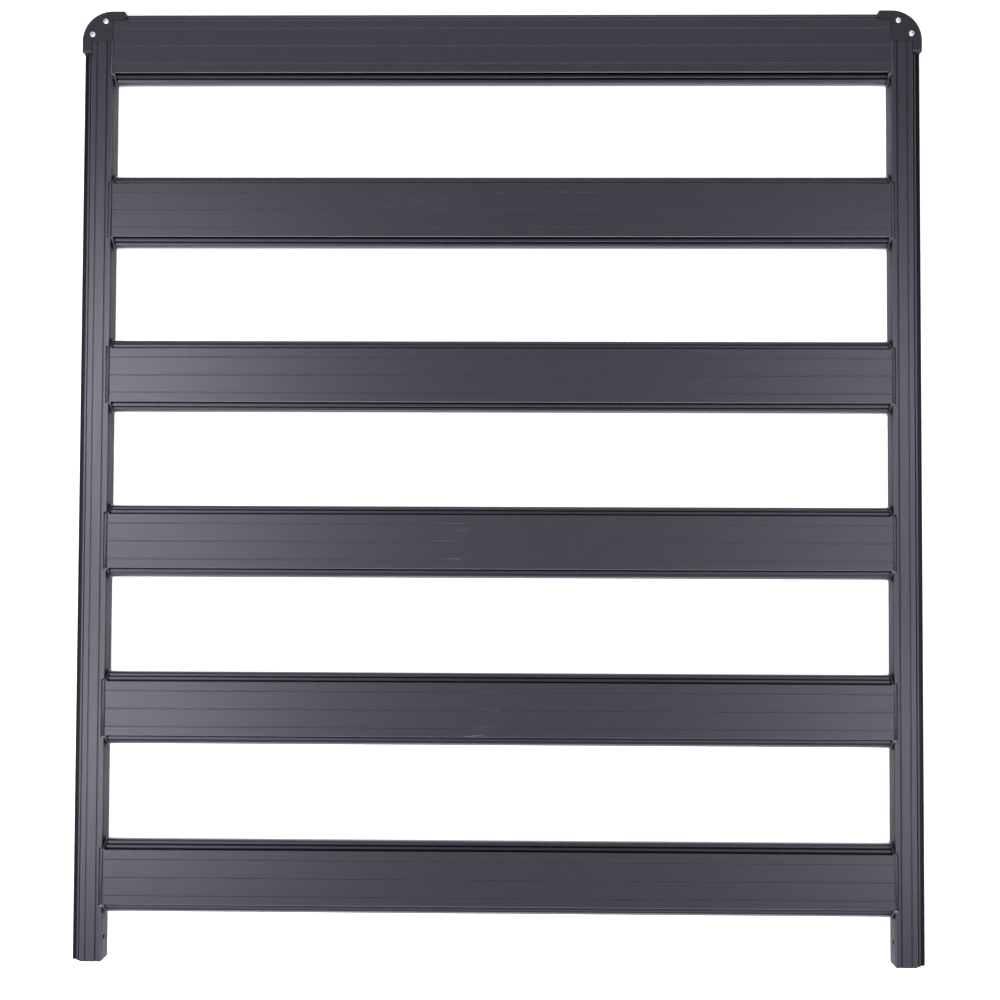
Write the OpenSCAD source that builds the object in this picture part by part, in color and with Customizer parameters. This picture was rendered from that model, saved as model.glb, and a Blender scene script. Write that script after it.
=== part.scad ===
// Flat platform roof rack: two side rails, six welded cross slats and two front corner caps.
// +Z is up, X runs across the rack, +Y points to the capped front end. Sizes in millimetres.

/* [Overall size] */
// Width over the rails' ledges
rack_w = 1240; // [1005:1:1475]
// Length from the front slat's ledge to the rails' rear ends
rack_l = 1395; // [1130:1:1660]
// Height of the side rails
rail_h = 40; // [34:0.5:48]
// Height of the cross slats, whose tops are level with the rails
slat_h = 27; // [22:0.5:32]

/* [Slats] */
// Distance of the rear slat's centre line from the rails' rear ends
rear_bay = 121.6; // [99:0.1:144]
// Width of a slat's top face
slat_top_w = 79; // [64:0.1:94]
// Distance of the two outer top grooves from the slat's centre line
slat_groove_y = 26; // [21:0.1:31]

/* [Rails] */
// Width of a rail's top face
rail_top_w = 30.8; // [25:0.1:36]
// Distance of the narrow top groove from the face's outer edge
rail_groove_a = 8.2; // [6.6:0.1:9.8]
// Distance of the wide top groove from the face's outer edge
rail_groove_b = 23.1; // [18.5:0.1:25]
// Diameter of the hole in the inner wall near the rear end
hole_d = 9; // [7:0.1:11]
// Distance of that hole from the rear end
hole_from_end = 32.7; // [26.5:0.1:39]
// Depth of that hole's centre below the rail's top
hole_down = 19; // [15.5:0.5:22.5]
// Depth of the upper fine line along the inner wall, below the rail's top
line_a_down = 14; // [12:0.5:16]
// Depth of the lower fine line, below the rail's top
line_b_down = 21.5; // [18:0.5:24.5]
// Width of the fine lines
line_w = 1.6; // [1.3:0.1:1.8]
// How deep the fine lines are cut
line_d = 0.5; // [0.4:0.05:0.6]

/* [Side channel] */
// Thickness of the top face's overhanging edge
lip_t = 3; // [2.4:0.1:3.6]
// Height of the undercut below the overhanging edge
undercut_h = 4.5; // [3.6:0.1:5.4]
// How far the undercut goes in behind the edge
undercut_in = 5.4; // [4.3:0.1:6.4]
// Thickness of the small flange below the undercut
flange_t = 2.5; // [2:0.1:3]
// How far the small flange stands out past the edge
flange_out = 6; // [4.8:0.1:7.2]
// Height of the slot between the small flange and the ledge
slot_h = 3; // [2.4:0.1:3.6]
// How far the slot's back stands out past the edge
slot_out = 0.6; // [0.5:0.1:0.7]
// How far the ledge stands out past the edge of a slat
ledge_out = 13.1; // [10.7:0.1:15.5]
// How far the ledge stands out past the edge of a rail
rail_ledge_out = 14.5; // [12:0.1:17]
// How far the ledge falls from the slot to its shoulder
ledge_fall = 1.3; // [1.05:0.05:1.55]
// Radius of the ledge's rounded outer shoulder
shoulder_r = 4.5; // [3.6:0.1:5.4]
// Wall thickness of the hollow sections
wall = 2.5; // [2:0.1:3]
// Bevel on the long outer edges
edge_bevel = 0.6; // [0.5:0.05:0.7]

/* [Top grooves] */
// Width of a fine groove at the surface
groove_w = 2; // [1.6:0.1:2.4]
// Depth of a fine groove
groove_d = 0.8; // [0.65:0.05:0.95]
// Width of the rail's wide groove at the surface
wide_groove_w = 2.6; // [2.1:0.1:3.1]
// Depth of the wide groove
wide_groove_d = 1.5; // [1.2:0.05:1.7]

/* [Corner caps] */
// Outer corner radius
cap_r = 44.5; // [38:0.5:44.5]
// Thickness of the top plate
cap_t = 2; // [1.6:0.1:2.4]
// How far a cap's outer faces stand in from the ledges' edges
cap_inset = 0.6; // [0.5:0.05:0.7]
// Length of the top plate, front to rear
cap_plate_l = 44.8; // [44.5:0.1:53]
// Length of the arm in the front slat's channel
cap_front_arm = 62.5; // [55:0.5:74]
// Length of the arm in the rail's channel
cap_side_arm = 61; // [55:0.5:72]
// Bevel at the ends of the arms
cap_end_bevel = 2; // [1.6:0.1:2.4]
// Bevel along the cap's outer top edge
cap_edge = 1; // [0.8:0.05:1.2]
// Cut across the rail's front corner, inside the cap
rail_corner = 12; // [10:0.5:14]

/* [Cap screws] */
// Head diameter
screw_d = 8; // [6.5:0.1:9.5]
// Head height
screw_h = 2; // [1.6:0.1:2.4]
// Diameter of the recess in the head
recess_d = 2.4; // [2:0.1:2.8]
// Depth of the recess
recess_depth = 1.2; // [1:0.1:1.4]
// Front screw, distance from the outer side
screw_a_side = 34.6; // [29:0.1:40]
// Front screw, distance from the front
screw_a_front = 15; // [12.5:0.1:17.5]
// Side screw, distance from the outer side
screw_b_side = 15.2; // [12.5:0.1:18]
// Side screw, distance from the front
screw_b_front = 34.4; // [29:0.1:39]

/* [Weld beads] */
// Width of the bead over the joint
bead_w = 6.4; // [5.2:0.1:7.6]
// Height of the bead
bead_h = 1.4; // [1.15:0.05:1.65]
// How far the bead's centre lies over the rail
bead_shift = 0.9; // [0.75:0.05:1.05]
// Length of the weld along the slat's sides
weld_l = 4; // [3.3:0.1:4.7]
// Thickness of the weld outside the ledge
weld_t = 2.5; // [2:0.1:3]
// Depth that the bead is let into the rail and slat
bead_seat = 0.3; // [0.25:0.05:0.35]

/* [Finish] */
rail_colour = [0.09, 0.09, 0.10];
slat_colour = [0.10, 0.10, 0.11];
weld_colour = [0.12, 0.12, 0.13];
cap_colour = [0.05, 0.05, 0.055];
screw_colour = [0.75, 0.75, 0.77];

/* [Hidden] */
half_w = rack_w / 2;
half_l = rack_l / 2;
cap_x = half_w - cap_inset;
cap_y = half_l - cap_inset;
rail_edge_x = half_w - rail_ledge_out;
rail_in_x = rail_edge_x - rail_top_w;
front_edge_y = half_l - ledge_out;
slat_half = slat_top_w / 2;
first_slat_y = front_edge_y - slat_half;
slat_n = 6;
slat_pitch = (first_slat_y + half_l - rear_bay) / (slat_n - 1);
slat_z = rail_h - slat_h;
cap_top = rail_h + cap_t;
ledge_z = rail_h - lip_t - undercut_h - flange_t - slot_h;
bead_r = (bead_w * bead_w / 4 + bead_h * bead_h) / (2 * bead_h);
groove_floor = 0.45;
wide_groove_floor = 0.8;
shoulder_steps = 6;
eps = 1;
curve = 96;

function slat_y(i) = first_slat_y - (i - 1) * slat_pitch;

// Rounded shoulder of the ledge, from its top to its outer wall
function shoulder(e, out) = [for (i = [0 : shoulder_steps])
    let (a = 90 * (1 - i / shoulder_steps))
        [e + out - shoulder_r * (1 - cos(a)), ledge_z - ledge_fall - shoulder_r * (1 - sin(a))]];

// Channel outline from the top edge down to the foot, given the edge's place, the foot's height and the ledge's reach
function channel(e, foot, out = ledge_out) = concat([
    [e - edge_bevel, rail_h],
    [e, rail_h - edge_bevel],
    [e, rail_h - lip_t],
    [e - undercut_in, rail_h - lip_t],
    [e - undercut_in, rail_h - lip_t - undercut_h],
    [e + flange_out - edge_bevel, rail_h - lip_t - undercut_h],
    [e + flange_out, rail_h - lip_t - undercut_h - edge_bevel],
    [e + flange_out, rail_h - lip_t - undercut_h - flange_t],
    [e + slot_out, rail_h - lip_t - undercut_h - flange_t],
    [e + slot_out, ledge_z]
], shoulder(e, out), [
    [e + out, foot + edge_bevel],
    [e + out - edge_bevel, foot]
]);

// The same outline for the other side, from the foot up to the top edge
function channel_back(e, foot) = let (c = channel(e, foot)) [for (i = [len(c) - 1 : -1 : 0]) [-c[i][0], c[i][1]]];

// Hollow inside one channel side, from the top down to the floor
function hollow(e, foot, out = ledge_out) = [
    [e - undercut_in - wall, rail_h - lip_t],
    [e - undercut_in - wall, rail_h - lip_t - undercut_h - flange_t],
    [e + slot_out - wall, rail_h - lip_t - undercut_h - flange_t],
    [e + slot_out - wall, ledge_z - ledge_fall - wall],
    [e + out - wall, ledge_z - ledge_fall - wall],
    [e + out - wall, foot + wall]
];

function hollow_back(e, foot) = let (c = hollow(e, foot)) [for (i = [len(c) - 1 : -1 : 0]) [-c[i][0], c[i][1]]];

// Groove in a top face: its place, width, depth, and its floor's share of the width
module groove(at, w, d, flat) {
    polygon([
        [at - w / 2, rail_h + eps],
        [at - w / 2, rail_h],
        [at - w / 2 * flat, rail_h - d],
        [at + w / 2 * flat, rail_h - d],
        [at + w / 2, rail_h],
        [at + w / 2, rail_h + eps]
    ]);
}

// Fine line along a rail's inner wall, given its depth below the top
module wall_line(down) {
    polygon([
        [rail_in_x - eps, rail_h - down - line_w / 2],
        [rail_in_x, rail_h - down - line_w / 2],
        [rail_in_x + line_d, rail_h - down],
        [rail_in_x, rail_h - down + line_w / 2],
        [rail_in_x - eps, rail_h - down + line_w / 2]
    ]);
}

// Slat section, across Y
module slat_outline() {
    polygon(concat(channel(slat_half, slat_z), channel_back(slat_half, slat_z)));
}

module slat_section() {
    difference() {
        slat_outline();
        polygon(concat(hollow(slat_half, slat_z), hollow_back(slat_half, slat_z)));
        for (at = [-slat_groove_y, 0, slat_groove_y]) groove(at, groove_w, groove_d, groove_floor);
    }
}

module along_x(x0, length) {
    translate([x0, 0, 0]) rotate([90, 0, 90]) linear_extrude(length) children();
}

module along_y(y0, length) {
    translate([0, y0 + length, 0]) rotate([90, 0, 0]) linear_extrude(length) children();
}

// Shallow seat for one slat's bead, on the right side
module bead_seat_cut(i) {
    over = slat_half + weld_t;
    front = i == 1 ? cap_y - cap_plate_l - first_slat_y : over;
    translate([rail_in_x + bead_shift - bead_w / 2, slat_y(i) - over, rail_h - bead_seat])
        cube([bead_w, over + front, bead_seat + eps]);
}

module slat(i) {
    color(slat_colour)
        difference() {
            translate([0, slat_y(i), 0]) along_x(-rail_in_x, 2 * rail_in_x) slat_section();
            bead_seat_cut(i);
            mirror([1, 0, 0]) bead_seat_cut(i);
        }
}

// Rail section, across X, for the right side
module rail_outline() {
    polygon(concat([[rail_in_x, 0], [rail_in_x, rail_h]], channel(rail_edge_x, 0, rail_ledge_out)));
}

module rail_section() {
    difference() {
        rail_outline();
        polygon(concat([[rail_in_x + wall, wall], [rail_in_x + wall, rail_h - lip_t]], hollow(rail_edge_x, 0, rail_ledge_out)));
        groove(rail_edge_x - rail_groove_a, groove_w, groove_d, groove_floor);
        groove(rail_edge_x - rail_groove_b, wide_groove_w, wide_groove_d, wide_groove_floor);
        wall_line(line_a_down);
        wall_line(line_b_down);
    }
}

// Cuts that make room for the cap: the channel side ends at the rounded corner, and the front corner is cut across
module rail_corner_cut() {
    translate([0, 0, -eps])
        linear_extrude(rail_h + 2 * eps)
            union() {
                translate([rail_edge_x, cap_y - cap_r]) square([rail_ledge_out + eps, cap_r + eps]);
                polygon([
                    [rail_edge_x - rail_corner, front_edge_y + eps],
                    [rail_edge_x - rail_corner, front_edge_y],
                    [rail_edge_x, front_edge_y - rail_corner],
                    [rail_edge_x + eps, front_edge_y - rail_corner],
                    [rail_edge_x + eps, front_edge_y + eps]
                ]);
            }
}

module rail() {
    color(rail_colour)
        difference() {
            along_y(-half_l, half_l + front_edge_y) rail_section();
            rail_corner_cut();
            translate([rail_in_x - eps, hole_from_end - half_l, rail_h - hole_down])
                rotate([0, 90, 0]) cylinder(d = hole_d, h = wall + 2 * eps, $fn = curve);
            for (i = [1 : slat_n]) bead_seat_cut(i);
        }
}

// Space taken by the right rail, hollow included
module rail_space() {
    difference() {
        along_y(-half_l, half_l + front_edge_y) rail_outline();
        rail_corner_cut();
    }
}

// Space taken by the front slat, hollow included
module front_slat_space() {
    translate([0, first_slat_y, 0]) along_x(0, rail_in_x) slat_outline();
}

// Corner block with a rounded outer edge, bevelled at the top
module cap_corner() {
    translate([cap_x - cap_r, cap_y - cap_r, 0])
        rotate_extrude(angle = 90, $fn = curve)
            polygon([[0, 0], [cap_r, 0], [cap_r, cap_top - cap_edge], [cap_r - cap_edge, cap_top], [0, cap_top]]);
}

// Straight stretch of the cap's outer wall, from an inner edge to an outer one, bevelled at the top
module cap_band(inner, outer, foot) {
    polygon([
        [inner, foot],
        [outer, foot],
        [outer, cap_top - cap_edge],
        [outer - cap_edge, cap_top],
        [inner, cap_top]
    ]);
}

// Bevel at the end of an arm that runs up from its end in the first direction
module arm_end_cut(end) {
    polygon([
        [end - eps, cap_top - cap_end_bevel - eps],
        [end + cap_end_bevel + eps, cap_top + eps],
        [end - eps, cap_top + eps]
    ]);
}

module cap() {
    side_end = cap_y - cap_side_arm;
    front_end = cap_x - cap_front_arm;
    arm_foot = ledge_z - ledge_fall - shoulder_r;
    color(cap_colour)
        difference() {
            union() {
                cap_corner();
                along_y(side_end, cap_side_arm - cap_r) cap_band(rail_edge_x, cap_x, arm_foot);
                along_x(front_end, rail_in_x - front_end) cap_band(front_edge_y, cap_y, arm_foot);
                along_x(rail_in_x, cap_x - cap_r - rail_in_x) cap_band(front_edge_y, cap_y, 0);
                translate([rail_in_x, cap_y - cap_plate_l, rail_h])
                    cube([rail_edge_x - rail_in_x, cap_plate_l - cap_r, cap_t]);
                translate([rail_in_x, cap_y - cap_plate_l, rail_h])
                    cube([cap_x - cap_r - rail_in_x, front_edge_y - cap_y + cap_plate_l, cap_t]);
            }
            rail_space();
            front_slat_space();
            along_x(rail_edge_x - eps, half_w - rail_edge_x + 2 * eps) arm_end_cut(side_end);
            along_y(front_edge_y - eps, half_l - front_edge_y + 2 * eps) arm_end_cut(front_end);
        }
}

// Domed head with a round recess, standing on the cap
module cap_screw(from_side, from_front) {
    dome_r = (screw_d * screw_d / 4 + screw_h * screw_h) / (2 * screw_h);
    color(screw_colour)
        translate([cap_x - from_side, cap_y - from_front, cap_top])
            difference() {
                intersection() {
                    cylinder(d = screw_d + eps, h = screw_h + eps, $fn = curve);
                    translate([0, 0, screw_h - dome_r]) sphere(dome_r, $fn = curve);
                }
                translate([0, 0, screw_h - recess_depth]) cylinder(d = recess_d, h = screw_h, $fn = curve);
            }
}

// Bead section over the joint, across X
module bead_section() {
    intersection() {
        translate([rail_in_x + bead_shift, rail_h + bead_h - bead_r]) circle(bead_r, $fn = curve);
        translate([rail_in_x + bead_shift - bead_w, rail_h]) square([2 * bead_w, 2 * bead_h]);
    }
    translate([rail_in_x + bead_shift - bead_w / 2, rail_h - bead_seat]) square([bead_w, bead_seat]);
}

// Weld metal in the channel at a slat's end, across Y
module weld_side_section() {
    difference() {
        polygon([
            [slat_half - undercut_in - wall / 2, slat_z],
            [slat_half - undercut_in - wall / 2, rail_h],
            [slat_half + weld_t, rail_h],
            [slat_half + flange_out + weld_t, rail_h - lip_t - undercut_h],
            [slat_half + flange_out + weld_t, ledge_z + weld_t],
            [slat_half + ledge_out + weld_t, ledge_z],
            [slat_half + ledge_out + weld_t, slat_z]
        ]);
        slat_outline();
    }
}

module weld(i) {
    mid = slat_y(i);
    over = slat_half + weld_t;
    front = i == 1 ? cap_y - cap_plate_l - mid : over;
    color(weld_colour)
        translate([0, mid, 0]) {
            along_y(-over, over + front) bead_section();
            mirror([0, 1, 0]) along_x(rail_in_x - weld_l, weld_l) weld_side_section();
            if (i > 1) along_x(rail_in_x - weld_l, weld_l) weld_side_section();
        }
}

rail();  // side_rail_right
mirror([1, 0, 0]) rail();  // side_rail_left
slat(1);  // slat_1
slat(2);  // slat_2
slat(3);  // slat_3
slat(4);  // slat_4
slat(5);  // slat_5
slat(6);  // slat_6
weld(1);  // weld_1_right
weld(2);  // weld_2_right
weld(3);  // weld_3_right
weld(4);  // weld_4_right
weld(5);  // weld_5_right
weld(6);  // weld_6_right
mirror([1, 0, 0]) weld(1);  // weld_1_left
mirror([1, 0, 0]) weld(2);  // weld_2_left
mirror([1, 0, 0]) weld(3);  // weld_3_left
mirror([1, 0, 0]) weld(4);  // weld_4_left
mirror([1, 0, 0]) weld(5);  // weld_5_left
mirror([1, 0, 0]) weld(6);  // weld_6_left
cap();  // corner_cap_right
mirror([1, 0, 0]) cap();  // corner_cap_left
cap_screw(screw_a_side, screw_a_front);  // cap_screw_right_front
cap_screw(screw_b_side, screw_b_front);  // cap_screw_right_side
mirror([1, 0, 0]) cap_screw(screw_a_side, screw_a_front);  // cap_screw_left_front
mirror([1, 0, 0]) cap_screw(screw_b_side, screw_b_front);  // cap_screw_left_side
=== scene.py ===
"""Flat platform roof rack: finishes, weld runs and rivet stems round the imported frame."""
import math

import bmesh
import bpy
from mathutils import Matrix, Vector


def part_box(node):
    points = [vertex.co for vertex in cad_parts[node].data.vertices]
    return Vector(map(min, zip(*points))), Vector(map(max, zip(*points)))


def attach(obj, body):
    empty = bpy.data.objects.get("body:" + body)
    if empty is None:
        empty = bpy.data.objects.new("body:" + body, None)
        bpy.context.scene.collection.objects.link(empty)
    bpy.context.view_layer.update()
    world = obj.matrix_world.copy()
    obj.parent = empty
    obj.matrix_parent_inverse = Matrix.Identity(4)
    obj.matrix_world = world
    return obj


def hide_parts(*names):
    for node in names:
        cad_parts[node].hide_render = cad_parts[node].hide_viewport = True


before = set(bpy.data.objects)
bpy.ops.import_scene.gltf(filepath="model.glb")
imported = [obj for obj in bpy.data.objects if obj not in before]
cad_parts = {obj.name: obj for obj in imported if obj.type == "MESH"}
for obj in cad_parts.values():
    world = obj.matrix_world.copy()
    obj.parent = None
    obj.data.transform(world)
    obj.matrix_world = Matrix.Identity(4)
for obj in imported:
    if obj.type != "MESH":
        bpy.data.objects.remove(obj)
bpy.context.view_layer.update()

MM = 0.001
SIDES = {"left": -1, "right": 1}
SLATS = 6
# Height of the rails' and slats' tops
DECK_TOP = 40.0 * MM
# How far a ledge reaches past the edge of the top, on a slat and on a rail
SLAT_LEDGE_REACH = 13.1 * MM
RAIL_LEDGE_REACH = 14.5 * MM


# Camera of the photograph: nearly overhead, from 2.45 m, tilted a few degrees

CAMERA_FOOT = (1.35 * MM, -24.34 * MM)
CAMERA_RANGE = 2.450
CAMERA_TURN = (-0.04025, -0.01689, -0.00347)
CAMERA_LENS_MM = 59.44
CAMERA_SENSOR_MM = 36.0


def make_camera():
    turn_x = Matrix.Rotation(CAMERA_TURN[0], 3, "X")
    turn_y = Matrix.Rotation(CAMERA_TURN[1], 3, "Y")
    turn_z = Matrix.Rotation(CAMERA_TURN[2], 3, "Z")
    axes = turn_z @ turn_y @ turn_x
    data = bpy.data.cameras.new("camera")
    data.sensor_width = CAMERA_SENSOR_MM
    data.lens = CAMERA_LENS_MM
    camera = bpy.data.objects.new("camera", data)
    back = axes.transposed() @ Vector((0, 0, CAMERA_RANGE))
    place = Vector((CAMERA_FOOT[0], CAMERA_FOOT[1], 0)) + back
    camera.matrix_world = Matrix.Translation(place) @ axes.transposed().to_4x4()
    bpy.context.collection.objects.link(camera)
    bpy.context.scene.camera = camera


# Node helpers

FLOAT, VECTOR = "NodeSocketFloat", "NodeSocketVector"
# Places of the colour sockets on a Mix node
MIX_FIRST, MIX_SECOND, MIX_RESULT = 6, 7, 2


def give(tree, socket, value):
    """Links a socket to another one, or sets its value."""
    if isinstance(value, bpy.types.NodeSocket):
        tree.links.new(value, socket)
    else:
        socket.default_value = value


def add(tree, kind, props=None, inputs=None):
    """One shader or geometry node, with its settings and its inputs as values or links."""
    made = tree.nodes.new(kind)
    for name, value in (props or {}).items():
        setattr(made, name, value)
    for key, value in (inputs or {}).items():
        give(tree, made.inputs[key], value)
    return made


def maths(tree, what, a, b=0.0):
    return add(tree, "ShaderNodeMath", {"operation": what}, {0: a, 1: b}).outputs[0]


def vector_maths(tree, what, a, b=None):
    inputs = {0: a} if b is None else {0: a, 1: b}
    return add(tree, "ShaderNodeVectorMath", {"operation": what}, inputs)


def spread(tree, value, low, high, to_low=0.0, to_high=1.0):
    """Carries the range low to high over to another range, and holds it there."""
    limits = {"From Min": low, "From Max": high, "To Min": to_low, "To Max": to_high}
    return add(tree, "ShaderNodeMapRange", {"clamp": True}, {"Value": value, **limits}).outputs[0]


def window(tree, value, low, high, soft):
    """One between two limits, fading out over a short distance on both sides."""
    rising = spread(tree, value, low - soft, low)
    falling = spread(tree, value, high + soft, high)
    return maths(tree, "MULTIPLY", rising, falling)


def blend_colour(tree, share, first, second):
    made = add(tree, "ShaderNodeMix", {"data_type": "RGBA"}, {0: share})
    for index, colour in ((MIX_FIRST, first), (MIX_SECOND, second)):
        linked = isinstance(colour, bpy.types.NodeSocket)
        give(tree, made.inputs[index], colour if linked else (*colour, 1.0))
    return made.outputs[MIX_RESULT]


def noise(tree, point, scale, detail):
    return add(tree, "ShaderNodeTexNoise", None, {"Vector": point, "Scale": scale, "Detail": detail})


def stretched(tree, point, stretch):
    """The point with each of its axes stretched by a factor of its own."""
    made = add(tree, "ShaderNodeMapping", {"vector_type": "POINT"}, {"Vector": point, "Scale": stretch})
    return made.outputs[0]


def new_group(name, inputs, outputs):
    """A node group with named inputs and outputs, and its two end nodes."""
    tree = bpy.data.node_groups.new(name, "ShaderNodeTree")
    for label, kind, value in inputs:
        socket = tree.interface.new_socket(label, in_out="INPUT", socket_type=kind)
        socket.default_value = value
    for label, kind in outputs:
        tree.interface.new_socket(label, in_out="OUTPUT", socket_type=kind)
    return tree, tree.nodes.new("NodeGroupInput").outputs, tree.nodes.new("NodeGroupOutput").inputs


def use(tree, group, **inputs):
    """Places a group in a material, with its own values."""
    made = tree.nodes.new("ShaderNodeGroup")
    made.node_tree = group
    for label, value in inputs.items():
        give(tree, made.inputs[label.replace("_", " ").capitalize()], value)
    return made.outputs


# Effects that several finishes share

def coat_peel_group():
    """Fine orange peel of a sprayed coat, with a slower waviness below it."""
    inputs = [("Point", VECTOR, (0, 0, 0)), ("Grain", FLOAT, 900.0), ("Wave", FLOAT, 60.0),
              ("Wave share", FLOAT, 0.35)]
    tree, given, result = new_group("coat_peel", inputs, [("Height", FLOAT), ("Patches", FLOAT)])
    fine = noise(tree, given["Point"], given["Grain"], 2.0).outputs["Fac"]
    slow = noise(tree, given["Point"], given["Wave"], 3.0).outputs["Fac"]
    share = maths(tree, "MULTIPLY", slow, given["Wave share"])
    tree.links.new(maths(tree, "ADD", fine, share), result["Height"])
    tree.links.new(slow, result["Patches"])
    return tree


def drawn_lines_group():
    """Long faint lines that run the way a section was pushed through its die."""
    inputs = [("Point", VECTOR, (0, 0, 0)), ("Stretch", VECTOR, (1, 1, 1)), ("Fineness", FLOAT, 300.0)]
    tree, given, result = new_group("drawn_lines", inputs, [("Lines", FLOAT)])
    lines = noise(tree, stretched(tree, given["Point"], given["Stretch"]), given["Fineness"], 3.0)
    lines.inputs["Roughness"].default_value = 0.6
    tree.links.new(lines.outputs["Fac"], result["Lines"])
    return tree


def rubbed_edges_group():
    """Mask of the edges that handling has polished."""
    inputs = [("Reach", FLOAT, 0.8 * MM), ("Break up", FLOAT, 120.0)]
    tree, given, result = new_group("rubbed_edges", inputs, [("Mask", FLOAT)])
    rounded = add(tree, "ShaderNodeBevel", {"samples": 6}, {"Radius": given["Reach"]}).outputs[0]
    facing = add(tree, "ShaderNodeNewGeometry").outputs["Normal"]
    turn = vector_maths(tree, "DOT_PRODUCT", rounded, facing).outputs["Value"]
    edge = spread(tree, turn, 0.995, 0.9)
    point = add(tree, "ShaderNodeTexCoord").outputs["Object"]
    gaps = noise(tree, point, given["Break up"], 3.0).outputs["Fac"]
    kept = spread(tree, gaps, 0.42, 0.62, 0.25, 1.0)
    tree.links.new(maths(tree, "MULTIPLY", edge, kept), result["Mask"])
    return tree


def recess_shade_group():
    """Mask of painted shade in the undercuts, slots and grooves, darkest where a point is most closed in.
    """
    tree, given, result = new_group("recess", [("Reach", FLOAT, 18.0 * MM)], [("Mask", FLOAT)])
    open_share = add(tree, "ShaderNodeAmbientOcclusion", {"samples": 6, "only_local": True},
                     {"Distance": given["Reach"]}).outputs["AO"]
    tree.links.new(spread(tree, open_share, 0.80, 0.40), result["Mask"])
    return tree


def upright_group():
    """Mask of the upright walls, where the sprayed coat lies rougher."""
    tree, given, result = new_group("upright", [("Softness", FLOAT, 0.35)], [("Mask", FLOAT)])
    facing = add(tree, "ShaderNodeNewGeometry").outputs["True Normal"]
    rise = maths(tree, "ABSOLUTE", add(tree, "ShaderNodeSeparateXYZ", None, {0: facing}).outputs["Z"])
    tree.links.new(spread(tree, rise, given["Softness"], 0.05), result["Mask"])
    return tree


# Bands of painted shade in a side channel: least and greatest depth below the deck, and the distance each
# fades over
BAND_BY_PLATE = (3.4 * MM, 9.8 * MM, 0.6 * MM)
BAND_BY_FLANGE = (10.3 * MM, 16.0 * MM, 0.4 * MM)
BAND_FLANGE_EDGE = (7.0 * MM, 10.2 * MM, 0.3 * MM)
BAND_LOW_LEDGE = (10.6 * MM, 17.0 * MM, 3.0 * MM)
# How far past the plate's edge the flange's edge lies, where it gets painted shade, from and to, and the
# distance it fades over
FLANGE_EDGE_REACH = (5.75 * MM, 7.0 * MM, 0.2 * MM)
# How far past the plate's edge the painted dark line by the flange sets in, and the painted shade of the
# low ledge
FLANGE_LINE_START = (3.5 * MM, 4.0 * MM)
LOW_LEDGE_START = (5.5 * MM, 7.5 * MM)
# Half of the distance over which a line's outer limit fades
LINE_FADE = 0.4 * MM


def channel_shade_group():
    """Mask of painted shade: dark lines beside the plate and the small flange, and a rail's low ledge."""
    inputs = [("Out", FLOAT, 0.0), ("Drop", FLOAT, 0.0), ("Line", FLOAT, 2.4 * MM),
              ("Shelf", FLOAT, 7.3 * MM), ("Ledge", FLOAT, 0.0)]
    tree, given, result = new_group("channel_shade", inputs, [("Mask", FLOAT)])
    out, drop = given["Out"], given["Drop"]

    def short_of(limit):
        return spread(tree, maths(tree, "SUBTRACT", limit, out), -LINE_FADE, LINE_FADE)

    by_plate = maths(tree, "MULTIPLY", short_of(given["Line"]), window(tree, drop, *BAND_BY_PLATE))
    on_shelf = maths(tree, "MULTIPLY", short_of(given["Shelf"]), spread(tree, out, *FLANGE_LINE_START))
    by_flange = maths(tree, "MULTIPLY", on_shelf, window(tree, drop, *BAND_BY_FLANGE))
    edge = window(tree, out, *FLANGE_EDGE_REACH)
    edge = maths(tree, "MULTIPLY", edge, window(tree, drop, *BAND_FLANGE_EDGE))
    low = spread(tree, out, *LOW_LEDGE_START)
    low = maths(tree, "MULTIPLY", low, window(tree, drop, *BAND_LOW_LEDGE))
    low = maths(tree, "MULTIPLY", low, given["Ledge"])
    lines = maths(tree, "MAXIMUM", by_plate, maths(tree, "MAXIMUM", by_flange, edge))
    tree.links.new(maths(tree, "MAXIMUM", lines, low), result["Mask"])
    return tree


def scuff_patch_group():
    """A patch of short fine scratches that fades out from its middle."""
    inputs = [("Point", VECTOR, (0, 0, 0)), ("Middle", VECTOR, (0, 0, 0)),
              ("Size", VECTOR, (0.03, 0.02, 0.01)), ("Stretch", VECTOR, (30, 900, 900)),
              ("Amount", FLOAT, 0.62)]
    tree, given, result = new_group("scuff_patch", inputs, [("Mask", FLOAT)])
    away = vector_maths(tree, "SUBTRACT", given["Point"], given["Middle"]).outputs[0]
    scaled = vector_maths(tree, "DIVIDE", away, given["Size"]).outputs[0]
    near = spread(tree, vector_maths(tree, "LENGTH", scaled).outputs["Value"], 1.0, 0.3)
    scratches = noise(tree, stretched(tree, given["Point"], given["Stretch"]), 1.0, 2.0).outputs["Fac"]
    mark = spread(tree, maths(tree, "SUBTRACT", scratches, given["Amount"]), 0.0, 0.05)
    tree.links.new(maths(tree, "MULTIPLY", mark, near), result["Mask"])
    return tree


PEEL = coat_peel_group()
LINES = drawn_lines_group()
RUB = rubbed_edges_group()
RECESS_SHADE = recess_shade_group()
UPRIGHT = upright_group()
CHANNEL_SHADE = channel_shade_group()
SCUFF = scuff_patch_group()


# Finishes

# Colours of the black coat where it lies thin or thick, and where it is marked, rubbed or scuffed, and
# colours painted in as light and as shade
COAT_THIN, COAT_THICK = (0.009, 0.009, 0.011), (0.014, 0.014, 0.017)
COAT_OVER_LINES = (0.024, 0.024, 0.029)
COAT_RUBBED = (0.09, 0.09, 0.10)
COAT_SCUFFED = (0.34, 0.34, 0.37)
# Painted light: a lighter colour laid into the fine top grooves
GROOVE_PAINTED_LIGHT = (0.040, 0.040, 0.045)
# Painted shade: a near-black colour laid into hollows, slots and side channels
COAT_PAINTED_SHADE = (0.004, 0.004, 0.0045)
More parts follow.
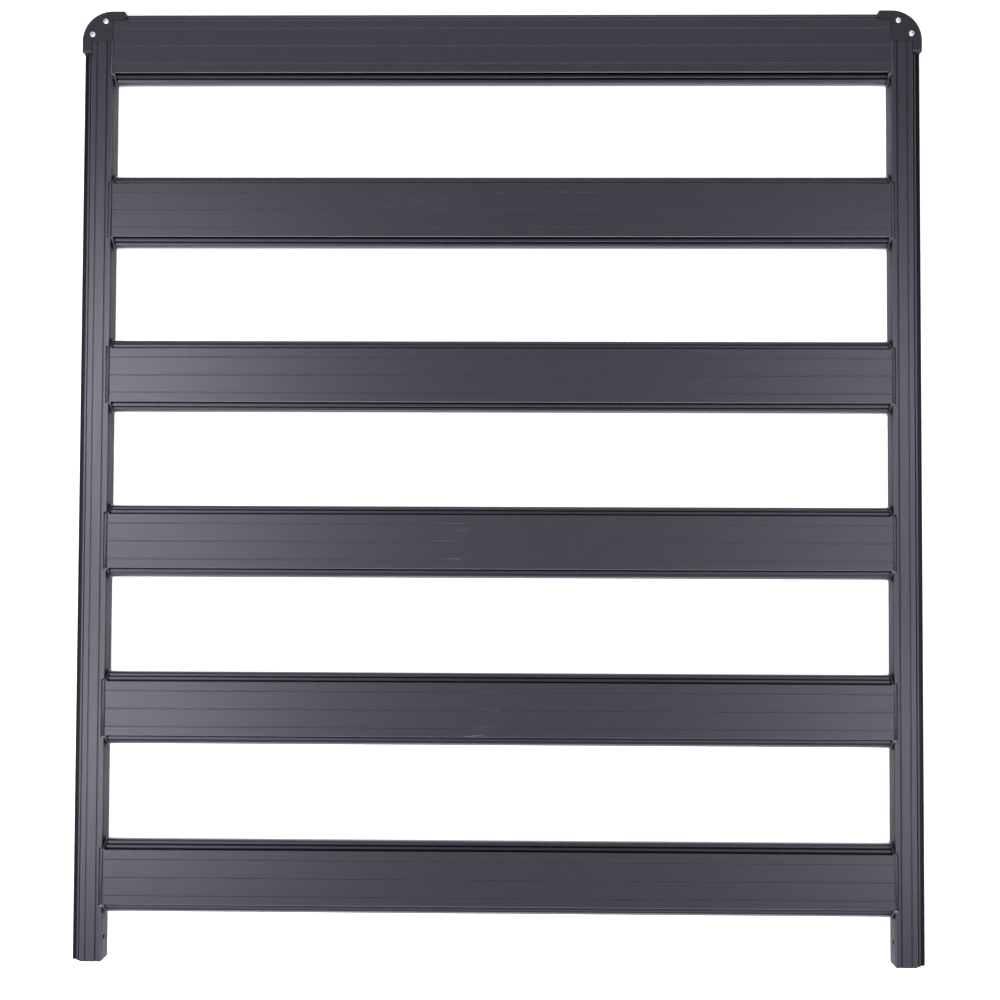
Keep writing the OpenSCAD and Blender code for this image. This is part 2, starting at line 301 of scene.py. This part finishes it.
# How die lines stretch along a rail, along a slat and on a weld, and how scuffs stretch along a slat
LINES_ON_RAIL = (1200.0, 6.0, 1200.0)
LINES_ON_SLAT = (6.0, 1200.0, 1200.0)
LINES_ON_WELD = (350.0, 350.0, 350.0)
SCUFFS_ON_SLAT = (28.0, 700.0, 700.0)
# Depths over which the painted shade of a groove gives way to the channel's
GROOVE_END = (1.8 * MM, 2.6 * MM)
# Least and greatest depth of the top grooves below the deck, where they get painted light, and the distance
# they fade over
GROOVE_BAND = (0.25 * MM, 1.6 * MM, 0.15 * MM)
# How far past the plate's edge the painted shade beside the small flange reaches, and how much further on
# an inner side
SHELF_REACH = 6.2 * MM
SHELF_MORE_INSIDE = 1.3 * MM


def start_finish(name):
    material = bpy.data.materials.new(name)
    material.use_nodes = True
    tree = material.node_tree
    shader = tree.nodes["Principled BSDF"]
    point = add(tree, "ShaderNodeTexCoord").outputs["Object"]
    return material, tree, shader, point


def finish_surface(tree, shader, base, rough, height, strength, depth):
    """Links a finish's colour, roughness and fine relief to its shader."""
    bump = add(tree, "ShaderNodeBump", None, {"Strength": strength, "Distance": depth, "Height": height})
    tree.links.new(base, shader.inputs["Base Color"])
    tree.links.new(rough, shader.inputs["Roughness"])
    tree.links.new(bump.outputs[0], shader.inputs["Normal"])


def shade_channel(tree, point, base, painted_shade, grooves, axis, middle, half, line, ledge):
    """Paints light into the top grooves and paints shade into the side channels of a section that runs
    across the axis.
    """
    place = add(tree, "ShaderNodeSeparateXYZ", None, {0: point})
    drop = maths(tree, "SUBTRACT", DECK_TOP, place.outputs["Z"])
    aside = maths(tree, "SUBTRACT", place.outputs[axis], middle)
    out = maths(tree, "SUBTRACT", maths(tree, "ABSOLUTE", aside), half)
    inward = maths(tree, "LESS_THAN", maths(tree, "MULTIPLY", aside, middle), 0.0)
    shelf = maths(tree, "ADD", maths(tree, "MULTIPLY", inward, SHELF_MORE_INSIDE), SHELF_REACH)
    painted_shade = maths(tree, "MULTIPLY", painted_shade, spread(tree, drop, *GROOVE_END, grooves, 1.0))
    lightened = maths(tree, "MULTIPLY", window(tree, drop, *GROOVE_BAND), 1.0 - grooves)
    base = blend_colour(tree, lightened, base, GROOVE_PAINTED_LIGHT)
    shade = use(tree, CHANNEL_SHADE, out=out, drop=drop, line=line, shelf=shelf, ledge=ledge)["Mask"]
    painted_shade = maths(tree, "MAXIMUM", painted_shade, maths(tree, "MULTIPLY", shade, 0.97))
    return base, painted_shade


def black_coat(name, stretch, scuffs=(), hollows=1.0, walls=0.0, channel=None, grooves=1.0):
    """Satin black powder coat over drawn aluminium: peel, die lines, rubbed edges and any scuffs, with
    painted shade in its hollows and side channels.
    """
    material, tree, shader, point = start_finish(name)
    peel = use(tree, PEEL, point=point, grain=1100.0, wave=45.0, wave_share=0.5)
    lines = use(tree, LINES, point=point, stretch=stretch, fineness=1.0)["Lines"]
    rub = use(tree, RUB, reach=0.9 * MM, break_up=90.0)["Mask"]
    base = blend_colour(tree, peel["Patches"], COAT_THIN, COAT_THICK)
    base = blend_colour(tree, spread(tree, lines, 0.35, 0.75, 0.0, 0.35), base, COAT_OVER_LINES)
    base = blend_colour(tree, maths(tree, "MULTIPLY", rub, 0.16), base, COAT_RUBBED)
    wall = use(tree, UPRIGHT, softness=0.35)["Mask"]
    rough = spread(tree, lines, 0.3, 0.8, 0.39, 0.31)
    rough = maths(tree, "ADD", rough, maths(tree, "MULTIPLY", wall, walls))
    for middle, size, strength in scuffs:
        mark = use(tree, SCUFF, point=point, middle=middle, size=size, stretch=SCUFFS_ON_SLAT, amount=0.50)
        share = maths(tree, "MULTIPLY", mark["Mask"], strength)
        base = blend_colour(tree, share, base, COAT_SCUFFED)
        rough = maths(tree, "ADD", rough, maths(tree, "MULTIPLY", share, 0.15))
    # Painted shade: where a point is closed in, the coat turns near-black and nearly metallic
    painted_shade = maths(tree, "MULTIPLY", use(tree, RECESS_SHADE, reach=12.0 * MM)["Mask"], hollows)
    if channel:
        base, painted_shade = shade_channel(tree, point, base, painted_shade, grooves, *channel)
    base = blend_colour(tree, painted_shade, base, COAT_PAINTED_SHADE)
    tree.links.new(maths(tree, "MULTIPLY", painted_shade, 0.96), shader.inputs["Metallic"])
    finish_surface(tree, shader, base, rough, peel["Height"], strength=0.10, depth=0.12 * MM)
    return material


def grained_moulding():
    """Black plastic with the fine spark grain of its mould."""
    material, tree, shader, point = start_finish("grained_moulding")
    peel = use(tree, PEEL, point=point, grain=1900.0, wave=120.0, wave_share=0.2)
    rub = use(tree, RUB, reach=1.2 * MM, break_up=160.0)["Mask"]
    base = blend_colour(tree, peel["Patches"], (0.011, 0.009, 0.010), (0.017, 0.014, 0.016))
    base = blend_colour(tree, maths(tree, "MULTIPLY", rub, 0.4), base, (0.06, 0.06, 0.065))
    rough = spread(tree, peel["Height"], 0.4, 0.9, 0.56, 0.44)
    shader.inputs["Specular IOR Level"].default_value = 0.30
    finish_surface(tree, shader, base, rough, peel["Height"], strength=0.25, depth=0.15 * MM)
    return material


def rivet_metal(name, colour, least_rough, most_rough, metallic):
    """Rivet metal with a fine mottle of brighter and duller spots."""
    material, tree, shader, point = start_finish(name)
    peel = use(tree, PEEL, point=point, grain=2600.0, wave=400.0, wave_share=0.6)
    base = blend_colour(tree, peel["Patches"], [part * 0.85 for part in colour], colour)
    rough = spread(tree, peel["Height"], 0.4, 1.0, least_rough, most_rough)
    tree.links.new(base, shader.inputs["Base Color"])
    tree.links.new(rough, shader.inputs["Roughness"])
    shader.inputs["Metallic"].default_value = metallic
    return material


# Handling marks by slat: middle along the slat, distance from its centre line, half length, half width
# and strength
SLAT_MARKS = {
    2: [(-0.120, 0.012, 0.110, 0.018, 0.03)],
    4: [(-0.066, 0.0262, 0.040, 0.0013, 0.40), (-0.062, -0.0258, 0.026, 0.0025, 0.25),
        (-0.083, 0.0004, 0.034, 0.0018, 0.20), (-0.052, 0.018, 0.020, 0.008, 0.04)],
    5: [(-0.010, 0.0262, 0.026, 0.0020, 0.18), (-0.011, 0.0004, 0.020, 0.0030, 0.35),
        (-0.023, -0.0258, 0.024, 0.0030, 0.30), (-0.031, -0.0376, 0.022, 0.0020, 0.35)],
}
MARK_DEPTH = 10.0 * MM
# How much painted shade, rather than painted light, the fine top grooves of each slat get, from the front
# slat to the rear one
GROOVE_SHADES = {1: 0.0, 2: 0.1, 3: 0.2, 4: 0.0, 5: 0.15, 6: 0.1}
# How far past the plate's edge the painted dark line beside it reaches, and how much painted shade the low
# ledge gets
SLAT_CHANNEL = (2.3 * MM, 0.0)
RAIL_CHANNEL = (3.4 * MM, 0.78)


def slat_plate(number):
    """Middle of a slat's top along Y, and half the width of its flat plate."""
    low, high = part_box(f"slat_{number}")
    return (low[1] + high[1]) / 2, (high[1] - low[1]) / 2 - SLAT_LEDGE_REACH


def slat_marks(number):
    middle_y, _ = slat_plate(number)
    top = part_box(f"slat_{number}")[1][2]
    return [((x, middle_y + y, top), (half_x, half_y, MARK_DEPTH), strength)
            for x, y, half_x, half_y, strength in SLAT_MARKS.get(number, [])]


def slat_coat(number):
    return black_coat(f"satin_coat_slat_{number}", LINES_ON_SLAT, slat_marks(number),
                      channel=("Y", *slat_plate(number), *SLAT_CHANNEL), grooves=GROOVE_SHADES[number])


RAIL_PLATE_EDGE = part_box("side_rail_right")[1][0] - RAIL_LEDGE_REACH
RAIL_COAT = black_coat("satin_coat_rails", LINES_ON_RAIL, walls=0.30,
                       channel=("X", 0.0, RAIL_PLATE_EDGE, *RAIL_CHANNEL))
WELD_COAT = black_coat("satin_coat_welds", LINES_ON_WELD, hollows=0.5)
MOULDING = grained_moulding()
RIVET_BRIGHT = rivet_metal("rivet_bright", (0.93, 0.91, 0.92),
                           least_rough=0.30, most_rough=0.42, metallic=0.55)
# Painted shade: near-black finish of the rivet stems, standing for the shade in the heads' hollows
RIVET_STUB_SHADE = rivet_metal("rivet_stub_painted_shade", (0.020, 0.019, 0.020),
                         least_rough=0.55, most_rough=0.70, metallic=0.4)


def dress_frame():
    """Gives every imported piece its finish."""
    for name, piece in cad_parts.items():
        if name.startswith("side_rail"):
            finish = RAIL_COAT
        elif name.startswith("slat"):
            finish = slat_coat(int(name[-1]))
        elif name.startswith("weld"):
            finish = WELD_COAT
        elif name.startswith("cap_screw"):
            finish = RIVET_BRIGHT
        else:
            finish = MOULDING
        for slot in piece.material_slots:
            slot.material = finish


# Geometry Nodes helpers

def tree_with_inputs(name, inputs):
    tree = bpy.data.node_groups.new(name, "GeometryNodeTree")
    tree.interface.new_socket("Geometry", in_out="INPUT", socket_type="NodeSocketGeometry")
    for label, kind, value in inputs:
        socket = tree.interface.new_socket(label, in_out="INPUT", socket_type=kind)
        if value is not None:
            socket.default_value = value
    tree.interface.new_socket("Geometry", in_out="OUTPUT", socket_type="NodeSocketGeometry")
    return tree, tree.nodes.new("NodeGroupInput").outputs, tree.nodes.new("NodeGroupOutput")


def finish_tree(tree, laid, finish, result):
    """Makes the instances real, smooth and finished."""
    real = add(tree, "GeometryNodeRealizeInstances", None, {"Geometry": laid})
    smooth = add(tree, "GeometryNodeSetShadeSmooth", None, {"Geometry": real.outputs[0]})
    coated = add(tree, "GeometryNodeSetMaterial", None, {"Geometry": smooth.outputs[0], "Material": finish})
    tree.links.new(coated.outputs[0], result.inputs[0])


def new_piece(name, mesh):
    piece = bpy.data.objects.new(name, mesh)
    bpy.context.collection.objects.link(piece)
    return piece


def made_mesh(source, tree, values):
    """Runs a node tree on an object and returns the plain mesh that it makes."""
    modifier = source.modifiers.new("maker", "NODES")
    modifier.node_group = tree
    named = {item.name: item.identifier for item in tree.interface.items_tree if item.in_out == "INPUT"}
    for label, value in values.items():
        modifier[named[label]] = value
    source.update_tag()
    graph = bpy.context.evaluated_depsgraph_get()
    mesh = bpy.data.meshes.new_from_object(source.evaluated_get(graph))
    source.modifiers.remove(modifier)
    bpy.data.objects.remove(source)
    return mesh


# Weld runs: stacked ripples that follow a slat's end up one channel, over the top and down the other

# How far the weld metal reaches past the top's edge, at the lip, at the flange and at the ledge
WELD_OUT = {"lip": 2.5 * MM, "flange": 8.5 * MM, "ledge": 15.6 * MM}
# Corners of the run in a channel above its foot: where they lie, and their depth below the top
COLLAR_CORNERS = (("ledge", 14.2 * MM), ("flange", 10.4 * MM), ("flange", 7.8 * MM), ("lip", 0.9 * MM))
# Height of the run's foot over the weld's own
COLLAR_FOOT = 1.5 * MM
# Half width of the ripples in a channel and of those over the top
COLLAR_HALF = 1.95 * MM
BEAD_HALF = 3.1 * MM
# Gap between the ripples in a channel and the rail's wall
COLLAR_GAP = 0.05 * MM
# How far the bead's middle lies over the rail
BEAD_SHIFT = 0.9 * MM
# How far the bead runs past the top's edge, and how far it stops short of a corner cap
BEAD_PAST_EDGE = 0.8 * MM
BEAD_SHORT_OF_CAP = 1.3 * MM
# How deep the middles of the ripples lie below the weld's surface
RIPPLE_SINK = 0.75 * MM
# The solid under the ripples: share of the bead's height that is left, how far its outer faces are
# drawn in, how closely a corner has to lie to such a face, and how closely two corners are one
CORE_RISE = 0.5
CORE_DRAWN_IN = 0.7 * MM
CORE_TOLERANCE = 0.05 * MM
SAME_POINT = 0.01 * MM
# What tells the right welds' seeds from the left ones'
RIGHT_SEEDS = 10


def ripple_tree():
    """Ripples of weld metal laid along a path, each leaning on the one before."""
    tree, want, result = tree_with_inputs("weld_ripples", [
        ("Ripple spacing", FLOAT, 2.0 * MM), ("Ripple length", FLOAT, 3.0 * MM),
        ("Ripple height", FLOAT, 0.74 * MM), ("Unevenness", FLOAT, 0.18), ("Lean", FLOAT, 0.09),
        ("Seed", "NodeSocketInt", 1), ("Coat", "NodeSocketMaterial", None)])
    path = add(tree, "GeometryNodeMeshToCurve", None, {"Mesh": want["Geometry"]})
    points = add(tree, "GeometryNodeCurveToPoints", {"mode": "LENGTH"},
                 {"Curve": path.outputs[0], "Length": want["Ripple spacing"]})
    along = points.outputs["Tangent"]
    outward = vector_maths(tree, "CROSS_PRODUCT", (1.0, 0.0, 0.0), along).outputs[0]
    turn = add(tree, "FunctionNodeAxesToRotation", {"primary_axis": "Y", "secondary_axis": "Z"},
               {"Primary Axis": along, "Secondary Axis": outward})
    lean = add(tree, "ShaderNodeCombineXYZ", None, {0: want["Lean"]})
    leant = add(tree, "FunctionNodeRotateRotation", {"rotation_space": "LOCAL"},
                {"Rotation": turn.outputs[0], "Rotate By": lean.outputs[0]})
    across = add(tree, "GeometryNodeInputNamedAttribute", {"data_type": "FLOAT"}, {"Name": "half_width"})
    sizes = add(tree, "ShaderNodeCombineXYZ", None,
                {0: across.outputs[0], 1: want["Ripple length"], 2: want["Ripple height"]})
    least = maths(tree, "SUBTRACT", 1.0, want["Unevenness"])
    chance = add(tree, "FunctionNodeRandomValue", {"data_type": "FLOAT"},
                 {2: least, 3: 1.0, "Seed": want["Seed"]})
    varied = add(tree, "ShaderNodeVectorMath", {"operation": "SCALE"},
                 {0: sizes.outputs[0], "Scale": chance.outputs[1]})
    ripple = add(tree, "GeometryNodeMeshUVSphere", None, {"Segments": 12, "Rings": 7, "Radius": 1.0})
    laid = add(tree, "GeometryNodeInstanceOnPoints", None,
               {"Points": points.outputs["Points"], "Instance": ripple.outputs["Mesh"],
                "Rotation": leant.outputs[0], "Scale": varied.outputs[0]})
    finish_tree(tree, laid.outputs[0], want["Coat"], result)
    return tree


def weld_path(number, side):
    """Corners of one weld's run, each with the half width of its ripples there."""
    weld_low, weld_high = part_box(f"weld_{number}_{side}")
    joint, _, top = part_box(f"slat_{number}")[1]
    middle, half_top = slat_plate(number)
    collar_x = SIDES[side] * (joint - COLLAR_HALF - COLLAR_GAP)
    bead_x = SIDES[side] * (joint + BEAD_SHIFT)
    collar = [(WELD_OUT["ledge"], weld_low[2] + COLLAR_FOOT)]
    collar += [(WELD_OUT[spot], top - depth) for spot, depth in COLLAR_CORNERS]
    collar = [(half_top + out - RIPPLE_SINK, z) for out, z in collar]
    bead_z = weld_high[2] - RIPPLE_SINK
    bead_start = middle - half_top - BEAD_PAST_EDGE
    bead_end = middle + half_top + BEAD_PAST_EDGE if number > 1 else weld_high[1] - BEAD_SHORT_OF_CAP
    rear = [(collar_x, middle - y, z, COLLAR_HALF) for y, z in collar]
    bead = [(bead_x, bead_start, bead_z, BEAD_HALF), (bead_x, bead_end, bead_z, BEAD_HALF)]
    front = [(collar_x, middle + y, z, COLLAR_HALF) for y, z in reversed(collar)] if number > 1 else []
    return rear + bead + front


def weld_core(number, side):
    """The weld's own solid, drawn in a little under the ripples."""
    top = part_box(f"slat_{number}")[1][2]
    middle, half_top = slat_plate(number)
    core = bmesh.new()
    core.from_mesh(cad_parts[f"weld_{number}_{side}"].data)
    bmesh.ops.remove_doubles(core, verts=core.verts, dist=SAME_POINT)
    skin = [half_top + out for out in WELD_OUT.values()]
    for corner in core.verts:
        rise = corner.co.z - top
        if rise > CORE_TOLERANCE:
            corner.co.z = top + CORE_RISE * rise
        away = corner.co.y - middle
        if any(abs(abs(away) - reach) < CORE_TOLERANCE for reach in skin):
            corner.co.y -= math.copysign(CORE_DRAWN_IN, away)
    for face in core.faces:
        face.material_index = 0
    return core


def weld_line(number, side):
    """The path of a weld's run as a line of edges that carries the ripples' half widths."""
    corners = weld_path(number, side)
    line = bpy.data.meshes.new("weld_line")
    line.from_pydata([corner[:3] for corner in corners], [(i, i + 1) for i in range(len(corners) - 1)], [])
    widths = line.attributes.new("half_width", "FLOAT", "POINT")
    widths.data.foreach_set("value", [corner[3] for corner in corners])
    return new_piece("weld_line", line)


def make_welds():
    tree = ripple_tree()
    for side in SIDES:
        for number in range(1, SLATS + 1):
            seed = number + (RIGHT_SEEDS if side == "right" else 0)
            ripples = made_mesh(weld_line(number, side), tree, {"Seed": seed, "Coat": WELD_COAT})
            run = weld_core(number, side)
            run.from_mesh(ripples)
            mesh = bpy.data.meshes.new(f"weld_run_{number}_{side}")
            run.to_mesh(mesh)
            run.free()
            bpy.data.meshes.remove(ripples)
            mesh.materials.append(WELD_COAT)
            piece = new_piece(mesh.name, mesh)
            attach(piece, "root")
            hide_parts(f"weld_{number}_{side}")


# Broken-off stems in the hollows of the rivet heads, coloured near-black as painted shade of the hollows

RIVETS = ("left_front", "left_side", "right_front", "right_side")
# Depth of the stems' middles below the heads' tops
STEM_DEPTH = 1.1 * MM


def stem_tree():
    tree, want, result = tree_with_inputs("rivet_stems", [
        ("Foot radius", FLOAT, 1.15 * MM), ("Top radius", FLOAT, 1.0 * MM),
        ("Stem height", FLOAT, 0.5 * MM), ("Finish", "NodeSocketMaterial", None)])
    stem = add(tree, "GeometryNodeMeshCone", {"fill_type": "NGON"},
               {"Vertices": 20, "Radius Top": want["Top radius"], "Radius Bottom": want["Foot radius"],
                "Depth": want["Stem height"]})
    laid = add(tree, "GeometryNodeInstanceOnPoints", None,
               {"Points": want["Geometry"], "Instance": stem.outputs["Mesh"]})
    finish_tree(tree, laid.outputs[0], want["Finish"], result)
    return tree


def make_stems():
    spots = []
    for name in RIVETS:
        low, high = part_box(f"cap_screw_{name}")
        spots.append(((low[0] + high[0]) / 2, (low[1] + high[1]) / 2, high[2] - STEM_DEPTH))
    seats = bpy.data.meshes.new("rivet_seats")
    seats.from_pydata(spots, [], [])
    mesh = made_mesh(new_piece("rivet_seats", seats), stem_tree(), {"Finish": RIVET_STUB_SHADE})
    mesh.name = "rivet_stems"
    piece = new_piece("rivet_stems", mesh)
    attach(piece, "root")


# Floor and light

FLOOR_HALF = 14.0
FLOOR_DROP = 0.5 * MM
FLOOR_GLOW = 0.70
# Soft panels straight above, two to a side: name, place along X and Y, power
OVERHEAD_PANELS = (("left_fore", -1.33, 0.385, 28.0), ("left_rear", -1.33, -0.66, 23.5),
                   ("right_fore", 1.39, 0.385, 15.0), ("right_rear", 1.39, -0.68, 16.0))
OVERHEAD = 2.45
# How far behind the point below it such a panel aims, which settles its turn
OVERHEAD_LEAN = 0.001
PANEL_TINT = (0.85, 0.85, 1.0)
# Light of the room from the sides and from straight above, and the heights between which it turns
ROOM_BESIDE, ROOM_ABOVE = (0.15, 0.145, 0.18), (0.92, 0.89, 1.06)
ROOM_TURN = (0.928, 0.972)


def make_floor():
    mesh = bpy.data.meshes.new("floor")
    corners = [(x * FLOOR_HALF, y * FLOOR_HALF, 0) for x, y in ((-1, -1), (1, -1), (1, 1), (-1, 1))]
    mesh.from_pydata(corners, [], [(0, 1, 2, 3)])
    floor = new_piece("floor", mesh)
    floor.location.z = -FLOOR_DROP
    material, tree, shader, point = start_finish("pale_floor")
    mottle = add(tree, "ShaderNodeTexNoise", None, {"Vector": point, "Scale": 3.0}).outputs["Fac"]
    base = blend_colour(tree, mottle, (0.86, 0.86, 0.86), (0.88, 0.88, 0.88))
    tree.links.new(base, shader.inputs["Base Color"])
    shader.inputs["Roughness"].default_value = 0.9
    shader.inputs["Emission Color"].default_value = (1, 1, 1, 1)
    shader.inputs["Emission Strength"].default_value = FLOOR_GLOW
    mesh.materials.append(material)


def softbox(name, place, aim, width, depth, power):
    """A soft panel of light that the camera itself doesn't see."""
    data = bpy.data.lights.new(name, "AREA")
    data.shape = "RECTANGLE"
    data.size, data.size_y = width, depth
    data.energy = power
    data.color = PANEL_TINT
    lamp = bpy.data.objects.new(name, data)
    lamp.location = place
    lamp.rotation_mode = "QUATERNION"
    lamp.rotation_quaternion = (Vector(aim) - Vector(place)).to_track_quat("-Z", "Y")
    lamp.visible_camera = False
    bpy.context.collection.objects.link(lamp)


def make_light():
    for name, x, y, power in OVERHEAD_PANELS:
        aim = (x, y - OVERHEAD_LEAN, 0.0)
        softbox(f"softbox_{name}", (x, y, OVERHEAD), aim, width=0.85, depth=0.56, power=power)
    middle = (0.0, 0.0, 0.0)
    softbox("softbox_low", (0.0, -3.0, 0.9), middle, width=3.4, depth=1.4, power=185.0)
    softbox("softbox_back", (0.0, 2.9, 2.4), middle, width=2.6, depth=0.8, power=48.0)
    world = bpy.data.worlds.new("studio")
    world.use_nodes = True
    tree = world.node_tree
    way = add(tree, "ShaderNodeTexCoord").outputs["Generated"]
    height = add(tree, "ShaderNodeSeparateXYZ", None, {0: way}).outputs["Z"]
    shade = blend_colour(tree, spread(tree, height, *ROOM_TURN), ROOM_BESIDE, ROOM_ABOVE)
    tree.links.new(shade, tree.nodes["Background"].inputs["Color"])
    bpy.context.scene.world = world
    bpy.context.scene.view_settings.view_transform = "Standard"


make_camera()
dress_frame()
make_welds()
make_stems()
make_floor()
make_light()
